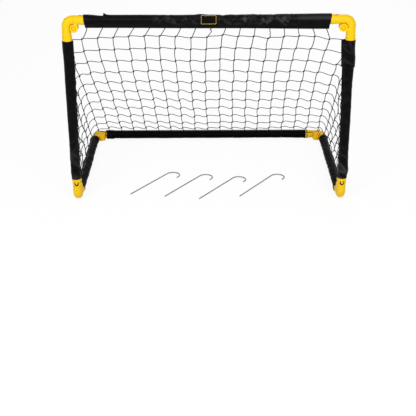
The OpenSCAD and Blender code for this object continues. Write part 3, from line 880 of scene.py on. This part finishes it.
mesh = bmesh.new()
inner = (LABEL[0] - 2 * INSET, LABEL[1] - 2 * INSET)
border = [(0, 0), (inner[0], 0), inner, (0, inner[1]), (0, 0)]
for (a0, b0), (a1, b1) in zip(border, border[1:]):
    run = sqrt((a1 - a0) ** 2 + (b1 - b0) ** 2)
    count = round(run / STITCH_RUN)
    for k in range(count):
        ends = []
        for t in ((k + 0.08) / count, (k + 0.92) / count):
            along = LABEL_START + INSET + a0 + (a1 - a0) * t
            around = LABEL_SHARE + (INSET + b0 + (b1 - b0) * t) / girth
            ends.append(on_bar(along, around, STITCH_LIFT))
        outward = (ends[0] - Vector((ends[0].x, FRONT, TOP))).normalized()
        stitch(mesh, *ends, YARN, outward)
border_stitches = link_mesh("label_stitches", mesh, yarn)
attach(border_stitches, "front_frame")
print("label stitched on")


# %% [markdown]
# The net is made as knots and the cords between them: a sloping back panel of
# 18 by 12 meshes and two side panels. A cloth simulation could let it hang. A
# few lengths were chosen instead, because they are quick to change and give the
# same net each time. First come the sizes that all the panels share, and where
# the model's lattice has each knot.

# %% The net's lattice
CORD = 2.5 * MM
COLS, ROWS = 18, 12
LAST_SIDE_ROW = ROWS - 1
POST_ROWS = 2
NET_GAP = 0.3 * MM
TIE = 1.8 * MM
ARM = 23.75 * MM
SEAM_TIP = 27 * MM
CUFF_TIP = 17.5 * MM
PIVOT_X, PIVOT_TOP, PIVOT_FRONT = SIDE - ARM, TOP - ARM, FRONT + ARM
LEG = 40 * MM
NET_TOP = TOP - SEAM_TIP - TIE
NET_LOW = LOW + CUFF_TIP + TIE
EDGE_IN = 8.5 * MM
EDGE = SIDE - EDGE_IN
SIDES_OF_GOAL = (-1, 1)
STOP_POST = FRONT + 15.5 * MM + NET_GAP + CORD / 2
chance = random.Random(SEED)


def taken(i):
    """The share of the topmost mesh that the seam takes up, most in the middle."""
    return 0.55 - 0.3 * (2 * i / COLS - 1) ** 2


def share(i, j):
    """How far down the slope a knot lies, from 0 to 1."""
    return 0 if j == 0 else 0.99 * (j - taken(i)) / (LAST_SIDE_ROW - taken(i))


def panel_y(t):
    return FRONT + t * (REAR - FRONT)


def panel_z(t):
    return NET_TOP + t * (NET_LOW - NET_TOP) - 60 * MM * t * (1 - t)


def column_x(i, j, t):
    across = 2 * i / COLS - 1
    half = PIVOT_X if j == 0 else SIDE - EDGE_IN * t
    drift = 16 * MM * (1 - across ** 2) * (1 if j == 0 else 0.3 * (1 - t))
    return across * half - 8 * MM * (1 - t / 2) + drift


def pull(j):
    """How far an edge knot is drawn forward, less in each row down."""
    return 70 * MM * 0.75 ** (j - POST_ROWS - 1)


def edge_y(j):
    return panel_y(share(0, j)) - pull(j)


def edge_z(j):
    return panel_z(share(0, j)) + 0.1 * pull(j)


def back_knot(i, j):
    """Where a knot of the back panel lies before it hangs."""
    side = -1 if i == 0 else 1
    edge = i in (0, COLS)
    t = share(i, j)
    if j == ROWS:
        reach = CUFF_TIP + TIE
        x = side * EDGE if edge else column_x(i, j, 1)
        return Vector((x, REAR + reach * sin(REAR_TURN), LOW + reach * cos(REAR_TURN)))
    if not edge:
        return Vector((column_x(i, j, t), panel_y(t), panel_z(t)))
    if j <= POST_ROWS:
        reach = (15 if side < 0 else 16) * MM + TIE
        z = min(PIVOT_TOP - LEG - NET_GAP - CORD, panel_z(share(0, j)) + 13 * MM)
        return Vector((side * (SIDE - reach / 2), FRONT + reach * sin(pi / 3), z))
    return Vector((side * EDGE, edge_y(j), edge_z(j)))


print("net:", COLS, "by", ROWS, "meshes, of about", round(2 * SIDE / COLS / MM), "mm")


# %% [markdown]
# Now the back panel hangs. The whole panel has slipped to the left, some
# columns have more cord than others, and the edges are drawn inwards. The
# table HANG says how far each column hangs above or below its place, and
# EDGE_MOVES how far each edge knot has moved, sideways and up, from the first
# row below the ties to the last. All lengths in both are in millimetres.

# %% How the back panel hangs
HANG = (0, 0, 1, 0, 1, 1, 1, -2, -4, -4, 1, -1, -1, -4, -1, 1, 2, -2, 0)
TOP_ROW_MORE = 1.6
ROW_LIFT = {1: -1.2, ROWS - 1: 4.5}
UNEVEN = 1.2
EDGE_MOVES = {
    0: ((0, 6), (2, 2), (3, 0), (4, -1), (4, -5), (4, -5), (3, -8), (3, -6), (1, -3)),
    COLS: ((-19, 5), (-20, 2), (-20, 0), (-20, 0), (-18, 0), (-17, 0), (-14, 1), (-11, 4), (-7, 6)),
}


def hung(i, j):
    """Where a knot of the back panel hangs."""
    spot = back_knot(i, j)
    if i in EDGE_MOVES and POST_ROWS < j < ROWS:
        sideways, up = EDGE_MOVES[i][j - POST_ROWS - 1]
        return spot + Vector((sideways, 0, up)) * MM
    if i in EDGE_MOVES or j in (0, ROWS):
        return spot
    across, down = 2 * i / COLS - 1, min(1, (j - 1) / 9)
    slip = 1.9 + 6.8 * sin(pi * down ** 0.7) + 1.1 * across
    narrower = 7.9 * across * sin(pi * down ** 1.6)
    sag = HANG[i] * (TOP_ROW_MORE if j == 1 else 1) + ROW_LIFT.get(j, 0)
    spot += Vector((-slip - narrower, 0, sag)) * MM
    aside = chance.uniform(-UNEVEN, UNEVEN)
    return spot + Vector((aside, 0, chance.uniform(-UNEVEN, UNEVEN))) * MM


print("the columns hang by", min(HANG), "to", max(HANG), "mm")


# %% [markdown]
# The side panels run from the back panel's edges to the posts. The left one is
# drawn out flat and the right one hangs in closer folds, so each has its own
# first column: x and y in millimetres, from the fourth row down. From there on
# the knots are spread evenly to the post, and then moved a little by chance.

# %% The side panels
FIRST_COLUMN = {
    -1: (
        (-423, -254), (-426, -173), (-428, -106), (-424, -76),
        (-426, -16), (-431, 56), (-432, 111), (-440, 190),
    ),
    1: (
        (415, -227), (420, -157), (422, -95), (425, -33),
        (427, 34), (431, 96), (432, 150), (437, 222),
    ),
}
POST_IN = 8 * MM
SIDE_MESH = {-1: 88 * MM, 1: 70 * MM}


def side_last(side, j):
    """The number of the row's last knot, and where along the goal it ends."""
    stop = PIVOT_FRONT + LEG if j == LAST_SIDE_ROW else STOP_POST
    if j == POST_ROWS + 1:
        return 1, stop
    first = FIRST_COLUMN[side][j - POST_ROWS - 2][1] * MM
    return 1 + max(1, round((first - stop) / SIDE_MESH[side])), stop


def side_knot(side, k, j):
    """Where a side panel's knot hangs; its first column is the back's edge."""
    last, stop = side_last(side, j)
    edge = knots["back", 0 if side < 0 else COLS, j]
    if k == 0:
        return edge
    lowest = j == LAST_SIDE_ROW
    if j == POST_ROWS + 1:
        return Vector((side * (SIDE - POST_IN), stop, edge_z(j)))
    x, y = (length * MM for length in FIRST_COLUMN[side][j - POST_ROWS - 2])
    if k > 1:
        out = (k - 1) / (last - 1)
        x += (side * (SIDE - POST_IN) - x) * out
        y += (stop - y) * out
    if lowest:
        return Vector((side * SIDE, y, NET_LOW))
    spot = Vector((x, y, edge_z(j)))
    if 1 < k < last:
        inwards, forward = chance.uniform(-4, 2) * side, chance.uniform(-7, 7)
        spot += Vector((inwards, forward, chance.uniform(-8, 3) - 3 * k)) * MM
    return spot


print("side panels:", LAST_SIDE_ROW - POST_ROWS, "rows each")


# %% [markdown]
# With every knot's place known, the cords are only pairs of neighbours. A
# dictionary whose keys say panel, column and row finds them: a cord is there
# where both its knots are, except along a bar and where two panels meet.

# %% Knots and cords
SLOPE = Vector((0, REAR - FRONT, NET_LOW - NET_TOP)).normalized()
knots, row_cords, column_cords = {}, [], []
for j in range(ROWS + 1):
    for i in range(COLS + 1):
        if j == 0 and i in (0, COLS):
            continue
        knots["back", i, j] = hung(i, j)
for side in SIDES_OF_GOAL:
    for j in range(POST_ROWS + 1, LAST_SIDE_ROW + 1):
        for k in range(side_last(side, j)[0] + 1):
            knots[side, k, j] = side_knot(side, k, j)
for (panel, i, j), spot in knots.items():
    if (panel, i + 1, j) in knots and not (panel == "back" and j in (0, ROWS)):
        row_cords.append(((panel, i, j), (panel, i + 1, j)))
    below = (panel, i, j + 1)
    on_edge = panel == "back" and i in (0, COLS) and j < POST_ROWS
    shared = panel != "back" and i == 0
    if below in knots and not on_edge and not shared:
        column_cords.append(((panel, i, j), below))
print("knots:", len(knots), "cords:", len(row_cords) + len(column_cords))


# %% [markdown]
# A cord is a thin tube along a curve with two handles. Its rings carry how far
# along the cord they lie, which the finish turns into the twist of the yarns.
# A bevelled curve would do too, but that length would have to be added after it
# has become a mesh.

# %% A tube of cord
SIDES, RINGS = 6, 9
THIN_END = 0.12
OFF_ALL_AXES = Vector((0.31, 0.2, 0.93))


def tube_along(mesh, path, thick, place, taper=False):
    """Adds a closed tube and returns its length."""
    rings, gone = [], 0.0
    for n, spot in enumerate(path):
        way = (path[min(n + 1, len(path) - 1)] - path[max(n - 1, 0)]).normalized()
        aside = way.cross(OFF_ALL_AXES).normalized()
        over = way.cross(aside)
        size = thick / 2
        if taper:
            size *= sqrt(max(THIN_END, 1 - (2 * n / (len(path) - 1) - 1) ** 2))
        ring = []
        for k in range(SIDES):
            turn = 2 * pi * k / SIDES
            point = mesh.verts.new(spot + (aside * cos(turn) + over * sin(turn)) * size)
            point[place] = (gone, turn * MM, 0)
            ring.append(point)
        rings.append(ring)
        if n + 1 < len(path):
            gone += (path[n + 1] - spot).length
    for one, two in zip(rings, rings[1:]):
        for k in range(SIDES):
            n = (k + 1) % SIDES
            mesh.faces.new((one[k], two[k], two[n], one[n])).smooth = True
    mesh.faces.new(rings[0])
    mesh.faces.new(rings[-1][::-1])
    return gone


def bend(a, b, c, d):
    """A curve from a to d with the handles b and c."""
    path = []
    for n in range(RINGS):
        t = n / (RINGS - 1)
        start = (1 - t) ** 3 * a + 3 * t * (1 - t) ** 2 * b
        path.append(start + 3 * t * t * (1 - t) * c + t ** 3 * d)
    return path


print("each cord has", RINGS, "rings of", SIDES)


# %% [markdown]
# Along the rows each cord leaves its knot upwards and comes in from below,
# which gives the wavy rows of a slack net. The wave grows downwards, where less
# of the net hangs below to pull it straight, and chance makes no two alike. The
# side panels' cords bulge outwards instead.

# %% Cords along the rows
mesh = bmesh.new()
place = mesh.verts.layers.float_vector.new("cloth")
cord_length = 0.0
KNOT = 4.0 * MM
SLACK_COLUMNS = 9
for first, last in row_cords:
    a, b = knots[first], knots[last]
    back = first[0] == "back"
    up = -SLOPE if back else Vector(UP)
    way = (b - a).normalized()
    lift = up * KNOT * 0.5
    reach = (b - a).length
    if back:
        slack = (0.62 if first[1] < SLACK_COLUMNS else 0.36) * smooth(first[2], 1, 7)
        hump = up * reach * (0.09 + slack * chance.uniform(0.5, 1.3))
        leave = a + way * reach * 0.3 + lift + hump
        arrive = b - way * reach * 0.3 - lift - hump * 0.7
    else:
        # The right panel's first cords run on sideways out of the back panel
        # before they turn forward
        out = Vector(ACROSS) * first[0] * reach
        ahead_by = (0.06 if first[0] > 0 else 0.2) if first[1] == 0 else 0.25
        outward_by = (0.31 if first[0] > 0 else 0.14) if first[1] == 0 else 0.12
        leave = a + out * outward_by - Vector(BACK) * reach * ahead_by
        arrive = b - way * reach * 0.34 + out * 0.08
    path = bend(a + lift, leave, arrive, b - lift)
    cord_length += tube_along(mesh, path, CORD, place)
print("rows tied:", len(row_cords), "cords")


# %% [markdown]
# Down the columns the net's weight keeps the cords nearly straight. The top
# ones run up into the seam of the crossbar's sleeve, and two of those are
# kinked: the table gives shares of the way down, and millimetres sideways.
# Averaging neighbouring points rounds the kinks off.

# %% Cords down the columns
KINKS = {
    (9, 0): ((0.12, 2), (0.2, -3), (0.3, 5), (0.5, 6), (0.8, 2)),
    (13, 0): ((0.3, 0), (0.45, 4), (0.62, 2), (0.8, 6)),
}
FINE = 25
COLUMN_THICKER = 1.08
IN_SEAM = 2 * MM


def rounded(corners):
    """Even points along straight lines, each averaged with its neighbours."""
    points = []
    for n in np.linspace(0, len(corners) - 1, FINE):
        after = min(int(n) + 1, len(corners) - 1)
        points.append(corners[int(n)].lerp(corners[after], n % 1))
    near = [points[max(0, n - 2):n + 3] for n in range(FINE)]
    return [sum(some, Vector()) / len(some) for some in near]


for first, last in column_cords:
    a, b = knots[first], knots[last]
    way = b - a
    aside = Vector(ACROSS) if first[0] == "back" else Vector(BACK)
    bow = aside * chance.uniform(-0.05, 0.05) * way.length
    twist = aside * KNOT * 0.5
    if first[2] == 0:
        a = Vector((a.x, a.y, TOP - bar_section(a.x - bar_left)[1] + IN_SEAM))
    if last[2] == ROWS:
        b = b.lerp(Vector((b.x, REAR, LOW)), 0.25)
    path = bend(a - twist * 0.6, a + way * 0.3 + bow, b - way * 0.3 + bow, b + twist * 0.6)
    if first[1:] in KINKS:
        path = [a]
        for share_down, sideways in KINKS[first[1:]]:
            path.append(a.lerp(b, share_down) + Vector((sideways * MM, 0, 0)))
        path = rounded(path + [b])
    cord_length += tube_along(mesh, path, CORD * COLUMN_THICKER, place)
print("columns tied:", len(column_cords), "cords")


# %% [markdown]
# The net is held at the frame. A lacing cord runs down behind each post from
# the lowest tie to just above the elbow, waving in and out of the meshes, and
# three ties go round each rear elbow: the table gives where each starts and
# ends, in millimetres from the middle, and at what angle round the bar.

# %% Lacing and ties
LACING_POINTS, LACING_WAVES = 60, 11
LACING_SWING = 1.6 * MM
LACING_IN, LACING_BEHIND = 15.8 * MM, 7 * MM
LACING_END = LOW + 45 * MM
TIE_POINTS = 24
ROUND_ELBOW = 15.9 * MM
TIE_LOWEST = 1.5 * MM
TIES = {
    -1: (((420, 0.2), (370, 0.95)), ((410, 1.3), (370, 1.6)), ((392, -2.1), (396, 1.2))),
    1: (((415, -2.1), (419, 0.9)), ((374, -2.1), (376, 3.6)), ((414, 0.7), (370, 0.9))),
}
for side in SIDES_OF_GOAL:
    top_tie = knots["back", 0 if side < 0 else COLS, POST_ROWS]
    drop = top_tie.z - LACING_END
    path = []
    for n in range(LACING_POINTS):
        down = n / (LACING_POINTS - 1)
        wave = LACING_SWING * sin(2 * pi * LACING_WAVES * down)
        x = side * (SIDE - LACING_IN - wave)
        path.append(Vector((x, FRONT + LACING_BEHIND, top_tie.z - drop * down)))
    cord_length += tube_along(mesh, path, CORD, place)
    for (x, turn), (last_x, last_turn) in TIES[side]:
        path = []
        for n in range(TIE_POINTS):
            gone = n / (TIE_POINTS - 1)
            angle = turn + (last_turn - turn) * gone
            along = (x + (last_x - x) * gone) * MM
            z = max(LOW + ROUND_ELBOW * cos(angle), TIE_LOWEST)
            path.append(Vector((side * along, REAR - ROUND_ELBOW * sin(angle), z)))
        cord_length += tube_along(mesh, path, CORD, place)
print(f"cord so far: {cord_length:.1f} m")


# %% [markdown]
# Each knot is two short pieces: a thick slanting core with thin ends, and one
# turn of cord round it. A ball would be simpler, but it would look like a bead.

# %% Knots
CORE_STEPS, LOOP_STEPS = 6, 8
CORE_THICK, LOOP_THICK, LOOP_REACH = CORD * 1.35, CORD * 0.8, 0.85
tied = 0
for (panel, i, j), spot in knots.items():
    if (panel != "back" and i == 0) or (panel == "back" and j in (0, ROWS)):
        continue
    up = -SLOPE if panel == "back" else Vector(UP)
    aside = Vector(ACROSS) if panel == "back" else Vector(BACK)
    stroke = (aside + up * chance.uniform(0.8, 1.3)).normalized()
    half = stroke * KNOT * chance.uniform(0.9, 1.15)
    core = [spot + half * (2 * n / CORE_STEPS - 1) for n in range(CORE_STEPS + 1)]
    tube_along(mesh, core, CORE_THICK, place, taper=True)
    face = up.cross(aside).normalized()
    turn = stroke.cross(face).normalized()
    loop = []
    for n in range(LOOP_STEPS + 1):
        angle = 2 * pi * n / LOOP_STEPS
        out = (turn * cos(angle) + face * sin(angle)) * CORD * LOOP_REACH
        loop.append(spot + out + stroke * (n / LOOP_STEPS - 0.5) * CORD)
    tube_along(mesh, loop, LOOP_THICK, place)
    tied += 1
print("knots tied:", tied)


# %% [markdown]
# The cord is twisted from a few dull black yarns. A sine of the length along
# the cord and the angle round it draws the twist as slanting stripes, which
# tint the cord and bump its surface. Modelled yarns would need many times the
# faces and wouldn't show from a step away.

# %% Net cord
TWIST = 2.6 * MM
cord_finish, shader, sums = new_finish("net_cord", Roughness=0.75)
shader.inputs["Specular IOR Level"].default_value = 0.25
on_cord = sums.node("Attribute", {"attribute_name": "cloth"}, output=1)
along, turn = (sums.node("SeparateXYZ", None, {0: on_cord}, k) for k in range(2))
yarns = (along * (2 * pi / TWIST) + turn * (2 / MM)).sine() * 0.5 + 0.5
fuzz = grain(sums, 0.0012, 3)
feed(
    shader,
    Base_Color=(yarns * 0.5 + fuzz * 0.5).tint((0.006, 0.006, 0.0065), (0.024, 0.024, 0.026)),
    Normal=bumped(yarns, 0.0003),
)
net = link_mesh("net", mesh, cord_finish)
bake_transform(net)
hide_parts("net_back", "net_left", "net_right")
print(f"net: {cord_length:.1f} m of cord, {len(net.data.polygons)} faces")


# %% [markdown]
# When the goal folds, the posts turn back on the hinge of the front elbows until they lie along the
# ground bars.


# %% [markdown]
